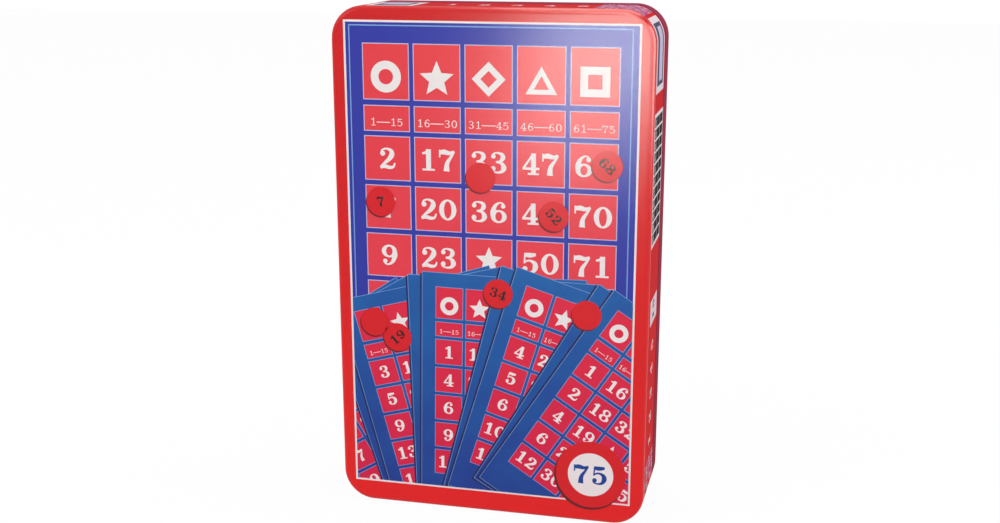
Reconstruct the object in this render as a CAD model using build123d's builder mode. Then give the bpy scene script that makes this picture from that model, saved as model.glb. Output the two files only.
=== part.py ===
from build123d import *
import math
import os

# Bingo game in a tin. The tin stands on its short end with the lid towards the viewer:
# X to the right, +Y towards the back of the tin, +Z up, origin under the middle of the tin.
# Every depth below is counted from the back of the tin towards the lid, in millimetres.

os.makedirs("parts", exist_ok=True)

# Closed tin, drawn from thin tinplate
tin_width = 118.0
tin_height = 191.0
tin_depth = 40.0
corner_radius = 12.0
fold_radius = 2.0
fold_steps = 3
sheet = 0.3

# Seam between lid and base: the lid's skirt slips over a neck and stops on a shoulder
shoulder_depth = 12.0
shoulder_chamfer = 0.25
seam_gap = 0.3
slip_clearance = 0.3
hem_width = 2.5
rim_headroom = 2.4

# Panel pressed into the back of the base, which leaves a border for the tin to lie on
panel_border = 5.0
panel_recess = 1.0
panel_corner = 6.5
panel_draft = 30.0

# Thermoformed tray inside the base, with its flange sunk below the rim of the neck
tray_sheet = 0.5
tray_seat_gap = 0.3
tray_sink = 5.8
tray_clearance = 0.35
tray_edge_drop = 6.0
tray_top_border = 2.5
tray_bottom_border = 4.35

# Card bay and its finger notches
bay_side_border = 7.1
bay_clearance = 0.5
bay_corner = 1.2
bay_draft = 2.0
notch_radius = 11.0
notch_reach = 6.0
notch_spacing = 52.0

# Chip wells: a row for the numbered chips over a row for the plain ones
well_columns = 5
well_rows = 2
well_side_border = 6.65
well_clearance = 0.5
well_column_web = 4.0
well_row_web = 1.4
well_bay_web = 2.0

# Bingo cards: they fill the bay but for its clearance and a headroom under the flange
card_count = 16
card_gap = 0.05
card_headroom = 2.75

# Chips: fifteen fill a well but for its clearance and a headroom under the flange
chip_gap = 0.05
chip_headroom = 1.4
chip_sides = 12
numbers_per_well = 15
covers_per_well = 14

# Caller's board and rules leaflet, which lie over the tray
layer_gap = 0.3
board_clearance = 0.7
board_thickness = 1.6
leaflet_side_border = 4.3
leaflet_end_border = 19.3
leaf_thickness = 0.3
leaf_gap = 0.2

# One length for every cut that has to pass clean through
overrun = 1.0


def layer(depth):
    """A plane that faces the lid, at a depth counted from the back of the tin."""
    return Plane(
        origin=(0, tin_depth / 2 - depth, tin_height / 2), x_dir=(1, 0, 0), z_dir=(0, -1, 0)
    )


def tin_outline(inset, mode=Mode.ADD):
    """The tin's rounded outline, drawn in by an inset all round."""
    RectangleRounded(
        tin_width - 2 * inset, tin_height - 2 * inset, corner_radius - inset, mode=mode
    )


def drawn_block(mouth, face, inset):
    """A block on the tin's outline, from a mouth to a face whose edge is folded over.

    The fold is a quarter round in a few flats. An inset draws in the sides and the face alike.
    """
    way = math.copysign(1, face - mouth)
    end = face - way * inset
    radius = fold_radius - inset
    with BuildPart() as block:
        with BuildSketch(layer(mouth)):
            tin_outline(inset)
        extrude(amount=end - way * radius - mouth)
        for step in range(fold_steps + 1):
            angle = math.pi / 2 * step / fold_steps
            with BuildSketch(layer(end - way * radius * (1 - math.sin(angle)))):
                tin_outline(inset + radius * (1 - math.cos(angle)))
        loft(ruled=True)
    return block.part


# Insets and depths that lid, base and tray share
neck_inset = 2 * sheet + slip_clearance
rim_inset = neck_inset + 2 * sheet
skirt_edge = shoulder_depth + seam_gap
rim_depth = tin_depth - sheet - rim_headroom
panel_wall = sheet / math.cos(math.radians(panel_draft))
base_floor = panel_recess + sheet

# Tin base: one drawn shell with a shoulder, a hemmed neck and a panel pressed into its back
strip_form = drawn_block(shoulder_depth, 0, 0)
strip_hollow = drawn_block(shoulder_depth - sheet, 0, sheet)
with BuildPart() as tin_base:
    add(strip_form)
    chamfer(tin_base.faces().sort_by(Axis.Y)[0].edges(), shoulder_chamfer)
    with BuildSketch(layer(shoulder_depth)):
        tin_outline(neck_inset)
    extrude(amount=rim_depth - shoulder_depth)
    add(strip_hollow, mode=Mode.SUBTRACT)
    with BuildSketch(layer(shoulder_depth - sheet)):
        tin_outline(neck_inset + sheet)
    extrude(amount=rim_depth + overrun - shoulder_depth, mode=Mode.SUBTRACT)
    with BuildSketch(layer(rim_depth)):
        tin_outline(neck_inset + sheet)
        tin_outline(rim_inset, mode=Mode.SUBTRACT)
    extrude(amount=-hem_width)
    with BuildSketch(layer(0)):
        RectangleRounded(
            tin_width - 2 * (panel_border - panel_wall),
            tin_height - 2 * (panel_border - panel_wall),
            panel_corner + panel_wall,
        )
    extrude(amount=base_floor, taper=panel_draft)
    with BuildSketch(layer(0)):
        RectangleRounded(
            tin_width - 2 * panel_border, tin_height - 2 * panel_border, panel_corner
        )
    extrude(amount=panel_recess, taper=panel_draft, mode=Mode.SUBTRACT)
tin_base.part.label = "tin_base"
export_step(tin_base.part, "parts/tin_base.step")

# Tin lid: one drawn cap with a folded face edge and an inward hem on the edge of its skirt
lid_form = drawn_block(skirt_edge, tin_depth, 0)
lid_hollow = drawn_block(skirt_edge - overrun, tin_depth, sheet)
with BuildPart() as tin_lid:
    add(lid_form)
    add(lid_hollow, mode=Mode.SUBTRACT)
    with BuildSketch(layer(skirt_edge)):
        tin_outline(sheet)
        tin_outline(2 * sheet, mode=Mode.SUBTRACT)
    extrude(amount=hem_width)
tin_lid.part.label = "tin_lid"
export_step(tin_lid.part, "parts/tin_lid.step")

# Depths of the tray and of what lies in it
tray_back = base_floor + tray_seat_gap
tray_floor = tray_back + tray_sheet
flange_front = rim_depth - tray_sink
tray_inset = rim_inset + tray_clearance
first_back = tray_floor + layer_gap
pocket_rise = flange_front - tray_floor
card_pitch = (flange_front - card_headroom - first_back + card_gap) / card_count
chip_pitch = (flange_front - chip_headroom - first_back + chip_gap) / numbers_per_well

# Chip wells, which share the tray's width between them and stand on its bottom border
well_webs = (well_columns - 1) * well_column_web
well_span = tin_width - 2 * (tray_inset + well_side_border) - well_webs
well_edge = well_span / well_columns / 2
well_radius = well_edge - tray_sheet
chip_radius = well_radius - well_clearance
well_pitch_across = 2 * well_edge + well_column_web
well_pitch_down = 2 * well_edge + well_row_web
cover_row = tray_inset + tray_bottom_border + well_edge - tin_height / 2
number_row = cover_row + well_pitch_down

# Card bay between the wells and the top border, and the cards that fit it
bay_slope = math.tan(math.radians(bay_draft))
bay_run = pocket_rise * bay_slope
bay_top = tin_height / 2 - tray_inset - tray_top_border - tray_sheet - notch_reach
bay_bottom = number_row + well_edge + well_bay_web + tray_sheet
bay_centre = (bay_top + bay_bottom) / 2
bay_floor_width = tin_width - 2 * (tray_inset + bay_side_border + bay_run)
bay_floor_height = bay_top - bay_bottom - 2 * bay_run
card_width = bay_floor_width - 2 * bay_clearance
card_height = bay_floor_height - 2 * bay_clearance


def pocket_forms(depth, wall, rise):
    """The card bay, its finger notches and the chip wells as solids that stand on one floor."""
    with BuildPart() as forms:
        for height in (0, rise):
            spread = 2 * (wall + height * bay_slope)
            with BuildSketch(layer(depth + height)):
                with Locations((0, bay_centre)):
                    RectangleRounded(
                        bay_floor_width + spread, bay_floor_height + spread, bay_corner + wall
                    )
        loft(ruled=True)
        with BuildSketch(layer(depth)):
            with Locations((0, bay_top + notch_reach - notch_radius)):
                with GridLocations(notch_spacing, 0, 2, 1):
                    Circle(notch_radius + wall)
            with Locations((0, (number_row + cover_row) / 2)):
                with GridLocations(well_pitch_across, well_pitch_down, well_columns, well_rows):
                    Circle(well_radius + wall)
        extrude(amount=rise)
    return forms.part


pocket_walls = pocket_forms(tray_back, tray_sheet, flange_front - tray_back)
pocket_hollows = pocket_forms(tray_floor, 0, pocket_rise + overrun)

# Tray: one sheet of plastic drawn into a bay and wells, with a flange whose edge turns down
with BuildPart() as tray:
    with BuildSketch(layer(flange_front)):
        tin_outline(tray_inset)
    extrude(amount=-tray_sheet)
    with BuildSketch(layer(flange_front)):
        tin_outline(tray_inset)
        tin_outline(tray_inset + tray_sheet, mode=Mode.SUBTRACT)
    extrude(amount=-tray_edge_drop)
    add(pocket_walls)
    add(pocket_hollows, mode=Mode.SUBTRACT)
tray.part.label = "card_and_chip_tray"
export_step(tray.part, "parts/card_and_chip_tray.step")

# Bingo cards: a pack of square-cut board cards that lies in the bay, each card a node
for number in range(card_count):
    with BuildPart() as card:
        with BuildSketch(layer(first_back + number * card_pitch)):
            with Locations((0, bay_centre)):
                Rectangle(card_width, card_height)
        extrude(amount=card_pitch - card_gap)
    name = f"bingo_card_{number + 1:02d}"
    card.part.label = name
    export_step(card.part, f"parts/{name}.step")


def stack_chips(across, row, count, name):
    """A stack of separate chips in one well, made as the node of that name."""
    with BuildPart() as stack:
        for number in range(count):
            with BuildSketch(layer(first_back + number * chip_pitch)):
                with Locations((across, row)):
                    RegularPolygon(chip_radius, chip_sides)
            extrude(amount=chip_pitch - chip_gap)
    stack.part.label = name
    export_step(stack.part, f"parts/{name}.step")


# Chips: a stack of numbered chips in each well of the upper row, plain ones in the lower row
for column in range(well_columns):
    across = (column - (well_columns - 1) / 2) * well_pitch_across
    first = column * numbers_per_well + 1
    last = first + numbers_per_well - 1
    stack_chips(across, number_row, numbers_per_well, f"number_chips_{first:02d}_to_{last:02d}")
    stack_chips(across, cover_row, covers_per_well, f"cover_chips_stack_{column + 1}")

# Caller's board: a flat board over the tray, inside the neck of the base
board_back = flange_front + layer_gap
board_inset = rim_inset + board_clearance
with BuildPart() as board:
    with BuildSketch(layer(board_back)):
        tin_outline(board_inset)
    extrude(amount=board_thickness)
board.part.label = "callers_board"
export_step(board.part, "parts/callers_board.step")

# Rules leaflet: one sheet folded once, the fold on its left like the spine of a booklet
leaflet_back = board_back + board_thickness + layer_gap
leaflet_thickness = 2 * leaf_thickness + leaf_gap
spine_radius = leaflet_thickness / 2
leaflet_width = tin_width - 2 * (board_inset + leaflet_side_border)
leaflet_height = tin_height - 2 * (board_inset + leaflet_end_border)
leaf_length = leaflet_width - spine_radius
leaflet_foot = Plane(
    origin=(0, tin_depth / 2 - leaflet_back - spine_radius, board_inset + leaflet_end_border)
)
with BuildPart() as leaflet:
    with BuildSketch(leaflet_foot):
        with Locations((spine_radius - leaflet_width / 2, 0)):
            Circle(spine_radius)
            Rectangle(leaf_length, leaflet_thickness, align=(Align.MIN, Align.CENTER))
            Circle(leaf_gap / 2, mode=Mode.SUBTRACT)
            Rectangle(
                leaf_length, leaf_gap, align=(Align.MIN, Align.CENTER), mode=Mode.SUBTRACT
            )
    extrude(amount=leaflet_height)
leaflet.part.label = "rules_leaflet"
export_step(leaflet.part, "parts/rules_leaflet.step")
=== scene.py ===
import math

import bmesh
import bpy
import numpy as np
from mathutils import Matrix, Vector


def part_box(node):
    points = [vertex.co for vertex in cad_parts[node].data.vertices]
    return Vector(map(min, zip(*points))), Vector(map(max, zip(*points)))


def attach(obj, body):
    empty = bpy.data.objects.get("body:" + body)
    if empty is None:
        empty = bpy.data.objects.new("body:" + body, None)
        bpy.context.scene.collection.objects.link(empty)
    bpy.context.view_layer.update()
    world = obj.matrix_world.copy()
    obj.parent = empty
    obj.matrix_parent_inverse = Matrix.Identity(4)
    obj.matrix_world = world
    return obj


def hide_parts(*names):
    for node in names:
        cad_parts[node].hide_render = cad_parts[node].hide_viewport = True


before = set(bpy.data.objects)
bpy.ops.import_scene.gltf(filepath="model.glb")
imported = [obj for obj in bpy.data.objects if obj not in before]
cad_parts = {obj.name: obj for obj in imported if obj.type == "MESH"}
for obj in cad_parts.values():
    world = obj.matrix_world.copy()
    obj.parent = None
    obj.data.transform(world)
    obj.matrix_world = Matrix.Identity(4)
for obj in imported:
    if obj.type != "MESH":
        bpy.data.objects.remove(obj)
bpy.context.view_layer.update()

# Lid: a slip lid drawn from one sheet of tinplate, lacquered red outside and bare inside, with a
# folded edge round its face and a hem turned in at its mouth. Its face and sides lie a little
# inside the CAD ones, so that the layers of print stay in the CAD box.
MM = 0.001
TIN_HALF_WIDTH = 59.0
TIN_HALF_HEIGHT = 95.5
TIN_FRONT_DEPTH = 40.0
TIN_CORNER = 12.0
CORNER_STEPS = 14
FOLD_STEPS = 8
PRINT_STEP = 0.01
LID_SIDE_INSET = 0.1
LID_FACE_DEPTH = 39.7
LID_SHEET = 0.25
LID_CAP_INSET = 11.0
FOLD_RADIUS = 2.0
FOLD_LEAD = 0.3


def outline(inset, corner):
    """A rounded rectangle inside the tin's outline, anticlockwise as seen from the lid.

    Each corner is the centre of its arc plus the radius times cosine and sine of the turn.
    """
    turn = np.linspace(0, math.pi / 2, CORNER_STEPS + 1)
    points = []
    for quarter, (way_x, way_z) in enumerate(((1, 1), (-1, 1), (-1, -1), (1, -1))):
        angle = turn + quarter * math.pi / 2
        x = way_x * (TIN_HALF_WIDTH - inset - corner) + corner * np.cos(angle)
        z = way_z * (TIN_HALF_HEIGHT - inset - corner) + corner * np.sin(angle)
        points.append(np.stack([x, z], axis=1))
    return np.vstack(points)


def skin_faces(rings, count):
    """Faces of a closed skin over rings of count points each: a cap, bands of quads, a cap."""
    faces = [tuple(range(count))]
    for ring in range(rings - 1):
        here, there = ring * count, (ring + 1) * count
        for k in range(count):
            after = (k + 1) % count
            faces.append((there + k, there + after, here + after, here + k))
    last = (rings - 1) * count
    faces.append(tuple(last + k for k in reversed(range(count))))
    return faces


def new_mesh(name, points, faces, materials, smooth_angle, indices=None):
    """A mesh object at the origin from points in metres in the row frame."""
    mesh = bpy.data.meshes.new(name)
    mesh.from_pydata([tuple(p) for p in points], [], faces)
    for material in materials:
        mesh.materials.append(material)
    if indices is not None:
        mesh.polygons.foreach_set("material_index", np.asarray(indices, dtype=np.int32))
    mesh.polygons.foreach_set("use_smooth", np.ones(len(mesh.polygons), dtype=bool))
    mesh.set_sharp_from_angle(angle=smooth_angle)
    mesh.update()
    piece = bpy.data.objects.new(name, mesh)
    bpy.context.scene.collection.objects.link(piece)
    return piece


def drawn_shell(name, rings, materials, changes):
    """A closed shell through rings of (inset, depth, corner radius), with a flat cap on each end.

    A ring without a corner radius gets the one that keeps it parallel to the tin's outline.
    Each number in changes is the ring from which the next material is used.
    """
    count = 4 * (CORNER_STEPS + 1)
    points = []
    for inset, depth, corner in rings:
        flat = outline(inset, TIN_CORNER - inset if corner is None else corner)
        y = np.full(count, TIN_FRONT_DEPTH / 2 - depth)
        points.append(np.stack([flat[:, 0], y, flat[:, 1] + TIN_HALF_HEIGHT], axis=1))
    indices = [0]
    for ring in range(len(rings) - 1):
        indices += [sum(ring >= change for change in changes)] * count
    indices.append(len(changes))
    faces = skin_faces(len(rings), count)
    return new_mesh(name, np.vstack(points) * MM, faces, materials, math.radians(40), indices)


def quarter_fold(inset, depth, radius, start, end, way=1):
    """Rings round a fold: centre plus radius times sine and cosine of the turn, in degrees.

    The way is 1 for a fold round the lid's face and -1 for one round the back.
    """
    turns = np.radians(np.linspace(start, end, FOLD_STEPS + 1))
    return [
        (inset - radius * math.sin(t), depth + way * radius * math.cos(t), None) for t in turns
    ]


def srgb(red, green, blue):
    """Linear colour of an sRGB one: (c / 255 + 0.055) / 1.055, to the power 2.4."""
    return tuple(((c / 255 + 0.055) / 1.055) ** 2.4 for c in (red, green, blue)) + (1.0,)


def feed(tree, node, inputs):
    """Gives each named input of a node its value or, where that is an output, a link."""
    for name, value in inputs.items():
        if isinstance(value, bpy.types.NodeSocket):
            tree.links.new(value, node.inputs[name])
        else:
            node.inputs[name].default_value = value


def add_node(tree, kind, inputs, **settings):
    """The outputs of a new shader node."""
    node = tree.nodes.new("ShaderNode" + kind)
    for setting, value in settings.items():
        setattr(node, setting, value)
    feed(tree, node, inputs)
    return node.outputs


def new_material(name):
    """A new material, its tree, its shader and the outputs of its texture coordinates."""
    material = bpy.data.materials.new(name)
    material.use_nodes = True
    tree = material.node_tree
    return material, tree, tree.nodes["Principled BSDF"], add_node(tree, "TexCoord", {})


def noise(tree, where, scale, detail=2.0, distortion=0.0):
    """A cloudy factor from 0 to 1."""
    inputs = {"Vector": where, "Scale": scale, "Detail": detail, "Distortion": distortion}
    return add_node(tree, "TexNoise", inputs)["Fac"]


def stretched(tree, where, scale):
    """Coordinates times a scale of their own along each axis."""
    return add_node(tree, "Mapping", {"Vector": where, "Scale": scale})["Vector"]


def between(tree, factor, low, high):
    """The colour that lies between two others by a factor."""
    return add_node(tree, "Mix", {"Factor": factor, "A": low, "B": high}, data_type="RGBA")["Result"]


def spread(tree, factor, low, high):
    """A factor from 0 to 1 spread from a low to a high value."""
    return add_node(tree, "MapRange", {"Value": factor, "To Min": low, "To Max": high})["Result"]


def maths(tree, operation, *values, clamp=False):
    """What an operation makes of numbers and outputs."""
    inputs = dict(enumerate(values))
    return add_node(tree, "Math", inputs, operation=operation, use_clamp=clamp)["Value"]


def bumped(tree, height, strength, distance, **more):
    """A normal that a height disturbs."""
    inputs = {"Height": height, "Strength": strength, "Distance": distance, **more}
    return add_node(tree, "Bump", inputs)["Normal"]


def lacquered(name, low, high, coat=0.6, coat_roughness=0.18):
    """Ink under clear lacquer, in colours that go from the tin's foot to its top. On some inks that
    change up the tin is painted light, and a comment at the ink says so.

    The share of the upper colour is the height over the tin's own plus a broad noise, so the
    ink looks mixed and not flat. A fine noise gives the lacquer its orange peel.
    """
    material, tree, shader, place = new_material(name)
    height = add_node(tree, "SeparateXYZ", {"Vector": place["Object"]})["Z"]
    climb = add_node(tree, "MapRange", {"Value": height, "From Max": 2 * TIN_HALF_HEIGHT * MM})
    sway = spread(tree, noise(tree, place["Object"], scale=55.0, detail=5.0), -0.25, 0.25)
    share = maths(tree, "ADD", climb["Result"], sway, clamp=True)
    peel = noise(tree, place["Object"], scale=420.0)
    feed(
        tree,
        shader,
        {
            "Base Color": between(tree, share, low, high),
            "Roughness": 0.42,
            "Specular IOR Level": 0.0,
            "Coat Weight": coat,
            "Coat Roughness": coat_roughness,
            "Coat Normal": bumped(tree, peel, strength=0.12, distance=0.0002),
        },
    )
    return material


def tinplate(name):
    """Bare tinplate: metal with fine streaks along the rolling direction, the tin's height."""
    material, tree, shader, place = new_material(name)
    rolled = stretched(tree, place["Object"], (900.0, 900.0, 30.0))
    streak = noise(tree, rolled, scale=1.0, detail=3.0)
    tone = between(tree, streak, (0.42, 0.42, 0.41, 1.0), (0.60, 0.60, 0.58, 1.0))
    rough = spread(tree, streak, 0.30, 0.50)
    feed(tree, shader, {"Base Color": tone, "Metallic": 1.0, "Roughness": rough})
    return material


SKIRT_COAT = {"coat": 0.1, "coat_roughness": 0.3}
# The lid's red is lighter at the foot than at the top: painted light that makes up for the lamps'
# light falling off towards the foot.
red_lacquer = lacquered("red_lacquer", srgb(244, 12, 18), srgb(220, 6, 16))
red_skirt = lacquered("red_skirt", srgb(222, 12, 22), srgb(214, 8, 20), **SKIRT_COAT)
bare_tin = tinplate("bare_tinplate")

fold_inset = LID_SIDE_INSET + FOLD_RADIUS
fold_depth = LID_FACE_DEPTH - FOLD_RADIUS
inner_face_depth = LID_FACE_DEPTH - LID_SHEET
lid_rings = [(LID_CAP_INSET, LID_FACE_DEPTH, None), (fold_inset + FOLD_LEAD, LID_FACE_DEPTH, None)]
lid_rings += quarter_fold(fold_inset, fold_depth, FOLD_RADIUS, 0, 90)
skirt_start = len(lid_rings) - 1
lid_rings += [(0.1, 37.2, None), (0.1, 12.85, None), (0.12, 12.55, None), (0.22, 12.37, None)]
hem_start = len(lid_rings)
lid_rings += [(0.38, 12.3, None), (0.54, 12.37, None), (0.64, 12.55, None), (0.67, 12.85, None)]
lid_rings += [(0.67, 14.6, None), (0.6, 14.78, None), (0.45, 14.84, None), (0.35, 14.9, None)]
lid_rings += [(0.35, 15.2, None), (0.35, 37.3, None)]
lid_rings += quarter_fold(fold_inset, fold_depth, FOLD_RADIUS - LID_SHEET, 90, 0)
lid_rings += [(fold_inset + FOLD_LEAD, inner_face_depth, None)]
lid_rings += [(LID_CAP_INSET, inner_face_depth, None)]
lid_materials = [red_lacquer, red_skirt, bare_tin]
lid_shell = drawn_shell("lid_shell", lid_rings, lid_materials, [skirt_start, hem_start])
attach(lid_shell, "lid")
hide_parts("tin_lid")

# Print on the lid's face: an upright number grid behind a fan of number cards, inside a white
# keyline, with loose chips and one numbered ball. It is ink under lacquer, put on the sheet
# before it is drawn, and each colour is a thin layer of its own.
NUMERAL_WIDTH = 0.84
NUMERAL_GAP = 0.08
HAIRLINE = 0.09
# Each numeral is drawn in a box one numeral width wide and 1 high, with slabs, swelling strokes
# and ball ends: strokes hold (x, y, width) keys, rings hold the middle, two radii and the widths
# at the sides and the crown, and balls hold the middle and the radius.
NUMERALS = {
    "0": {"rings": [(0.42, 0.5, 0.30, 0.455, 0.24, 0.09)]},
    "1": {
        "strokes": [
            [(0.44, 0.0, 0.24), (0.44, 1.0, 0.24)],
            [(0.42, 0.90, 0.17), (0.30, 0.84, 0.13), (0.14, 0.80, 0.09)],
            [(0.14, 0.045, 0.09), (0.74, 0.045, 0.09)],
        ]
    },
    "2": {
        "strokes": [
            [(0.10, 0.72, 0.06), (0.17, 0.89, 0.08), (0.38, 0.955, 0.09), (0.60, 0.86, 0.18)]
            + [(0.63, 0.68, 0.25), (0.50, 0.47, 0.20), (0.27, 0.27, 0.13), (0.10, 0.10, 0.10)],
            [(0.06, 0.07, 0.14), (0.28, 0.12, 0.18), (0.52, 0.07, 0.16)]
            + [(0.70, 0.11, 0.12), (0.78, 0.29, 0.06)],
        ],
        "balls": [(0.19, 0.73, 0.125)],
    },
    "3": {
        "strokes": [
            [(0.10, 0.79, 0.06), (0.20, 0.92, 0.08), (0.40, 0.955, 0.09), (0.60, 0.87, 0.18)]
            + [(0.62, 0.71, 0.22), (0.50, 0.57, 0.12), (0.30, 0.53, 0.08)],
            [(0.30, 0.53, 0.08), (0.55, 0.48, 0.14), (0.67, 0.28, 0.25), (0.58, 0.10, 0.16)]
            + [(0.38, 0.045, 0.09), (0.17, 0.09, 0.08), (0.08, 0.20, 0.06)],
        ],
        "balls": [(0.18, 0.79, 0.11), (0.17, 0.22, 0.12)],
    },
    "4": {
        "strokes": [
            [(0.52, 0.97, 0.09), (0.09, 0.33, 0.10)],
            [(0.03, 0.29, 0.11), (0.82, 0.29, 0.11)],
            [(0.54, 0.0, 0.23), (0.54, 1.0, 0.23)],
            [(0.28, 0.045, 0.09), (0.80, 0.045, 0.09)],
        ]
    },
    "5": {
        "strokes": [
            [(0.17, 0.90, 0.18), (0.40, 0.88, 0.22), (0.68, 0.92, 0.14)],
            [(0.17, 0.98, 0.08), (0.13, 0.48, 0.07)],
            [(0.13, 0.50, 0.06), (0.25, 0.60, 0.09), (0.44, 0.61, 0.11), (0.62, 0.50, 0.20)]
            + [(0.66, 0.31, 0.25), (0.56, 0.11, 0.16), (0.36, 0.045, 0.09)]
            + [(0.16, 0.09, 0.08), (0.08, 0.20, 0.06)],
        ],
        "balls": [(0.17, 0.23, 0.12)],
    },
    "6": {
        "rings": [(0.43, 0.31, 0.27, 0.265, 0.22, 0.09)],
        "strokes": [
            [(0.16, 0.28, 0.22), (0.16, 0.52, 0.25), (0.26, 0.80, 0.17)]
            + [(0.45, 0.95, 0.09), (0.62, 0.93, 0.07), (0.71, 0.81, 0.05)]
        ],
        "balls": [(0.64, 0.80, 0.11)],
    },
    "7": {
        "strokes": [
            [(0.07, 0.87, 0.18), (0.28, 0.90, 0.23), (0.54, 0.85, 0.18), (0.77, 0.93, 0.12)],
            [(0.06, 1.0, 0.07), (0.06, 0.64, 0.07)],
            [(0.75, 0.93, 0.10), (0.62, 0.70, 0.12), (0.42, 0.38, 0.20), (0.38, 0.0, 0.28)],
        ]
    },
    "8": {
        "rings": [
            (0.42, 0.745, 0.245, 0.215, 0.20, 0.08),
            (0.42, 0.265, 0.29, 0.225, 0.23, 0.08),
        ]
    },
}
RING_STEPS = 28
BALL_STEPS = 12
DISC_STEPS = 40


def polygon(points, level, ink):
    """One flat patch of ink: its points in millimetres, its faces, its layer and its ink."""
    return (np.asarray(points, float), [tuple(range(len(points)))], level, ink)


def box_patch(x0, y0, x1, y1, level, ink):
    """An upright rectangle between two opposite corners."""
    return polygon([(x0, y0), (x1, y0), (x1, y1), (x0, y1)], level, ink)


def disc_patch(x, y, radius, level, ink, steps=DISC_STEPS, turn=0.0):
    """A regular polygon of many sides: centre plus radius times cosine and sine."""
    angle = np.linspace(0, 2 * math.pi, steps, endpoint=False) + turn
    points = np.stack([x + radius * np.cos(angle), y + radius * np.sin(angle)], 1)
    return polygon(points, level, ink)


def ring_patch(inner, outer, level, ink):
    """A closed band between two loops with the same number of points."""
    n = len(inner)
    faces = [(k, n + k, n + (k + 1) % n, (k + 1) % n) for k in range(n)]
    return (np.vstack([inner, outer]), faces, level, ink)


def frame_patch(x0, y0, x1, y1, width, level, ink):
    """A square-cornered frame of one line width, outside the given box."""
    inner = np.array([(x0, y0), (x1, y0), (x1, y1), (x0, y1)], float)
    outer = inner + np.array([(-1, -1), (1, -1), (1, 1), (-1, 1)], float) * width
    return ring_patch(inner, outer, level, ink)


def star_patch(x, y, radius, level, ink, points=5, waist=0.45):
    """A star: the radius is whole on the points and a share of it between them."""
    angle = np.pi / 2 + np.arange(2 * points) * math.pi / points
    reach = np.where(np.arange(2 * points) % 2 == 0, radius, radius * waist)
    loop = np.stack([x + reach * np.cos(angle), y + reach * np.sin(angle)], 1)
    return polygon(loop, level, ink)


def smooth_path(keys, fine):
    """A Catmull-Rom curve. From b to c, with neighbours a and d, the point at t is half of
    2b + (c - a) t + (2a - 5b + 4c - d) t^2 + (3b - a - 3c + d) t^3."""
    keys = np.asarray(keys, float)
    if len(keys) == 2:
        return keys
    ends = np.vstack([2 * keys[0] - keys[1], keys, 2 * keys[-1] - keys[-2]])
    a, b, c, d = ends[:-3], ends[1:-2], ends[2:-1], ends[3:]
    t = np.linspace(0, 1, fine, endpoint=False)[:, None, None]
    curve = 2 * b + (c - a) * t + (2 * a - 5 * b + 4 * c - d) * t**2
    curve = (curve + (3 * b - a - 3 * c + d) * t**3) / 2
    return np.vstack([curve.transpose(1, 0, 2).reshape(-1, 3), keys[-1]])


def stroke_patch(keys, weight, fine):
    """A stroke of (x, y, width) keys as a strip of quads, half its width to each side."""
    line = smooth_path(keys, fine)
    way = np.gradient(line[:, :2], axis=0)
    way /= np.linalg.norm(way, axis=1)[:, None]
    width = np.maximum(line[:, 2:] * weight, min(0.07, 0.9 * weight))
    side = np.stack([-way[:, 1], way[:, 0]], 1) * width / 2
    n = len(line)
    faces = [(k, k + n, k + n + 1, k + 1) for k in range(n - 1)]
    return np.vstack([line[:, :2] + side, line[:, :2] - side]), faces


def numeral_shapes(digit, weight, fine):
    """The shapes of one numeral as (points, faces). A 9 is a 6 turned half round."""
    parts = NUMERALS["6" if digit == "9" else digit]
    shapes = [stroke_patch(keys, weight, fine) for keys in parts.get("strokes", [])]
    for x, y, rx, ry, side, crown in parts.get("rings", []):
        angle = np.linspace(0, 2 * math.pi, RING_STEPS, endpoint=False)
        unit = np.stack([np.cos(angle), np.sin(angle)], 1)
        grow = np.array([side, max(crown, HAIRLINE / max(weight, 0.6))]) * weight / 2
        inner = (x, y) + unit * ((rx, ry) - grow)
        outer = (x, y) + unit * ((rx, ry) + grow)
        shapes.append(ring_patch(inner, outer, 0, 0)[:2])
    if weight > 0.7:
        for x, y, radius in parts.get("balls", []):
            shapes.append(disc_patch(x, y, radius, 0, 0, BALL_STEPS)[:2])
    if digit == "9":
        shapes = [(np.array([NUMERAL_WIDTH, 1.0]) - points, faces) for points, faces in shapes]
    return shapes


def spin(turn):
    """The matrix that turns rows of points by an angle, anticlockwise."""
    return np.array([[math.cos(turn), math.sin(turn)], [-math.sin(turn), math.cos(turn)]])


def numerals(text, x, y, height, level, ink, weight=1.0, fine=5, turn=0.0):
    """Numerals centred on a point, and turned about it. A minus sign is drawn as a dash."""
    advance = NUMERAL_WIDTH + NUMERAL_GAP
    start = -(len(text) * advance - NUMERAL_GAP) / 2
    patches = []
    for rank, sign in enumerate(text):
        if sign == "-":
            shapes = [box_patch(-0.04, 0.40, 0.88, 0.40 + 0.2 * weight, 0, 0)[:2]]
        else:
            shapes = numeral_shapes(sign, weight, fine)
        for order, (points, faces) in enumerate(shapes):
            local = (points + (start + rank * advance, -0.5)) * height
            patches.append((local @ spin(turn) + (x, y), faces, level + 0.15 * order, ink))
    return patches


def moved(patches, x, y, degrees=0.0, lift=0):
    """Patches turned anticlockwise about the origin, then shifted and lifted some layers."""
    turn = spin(math.radians(degrees))
    return [(p @ turn + (x, y), faces, level + lift, ink) for p, faces, level, ink in patches]


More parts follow.
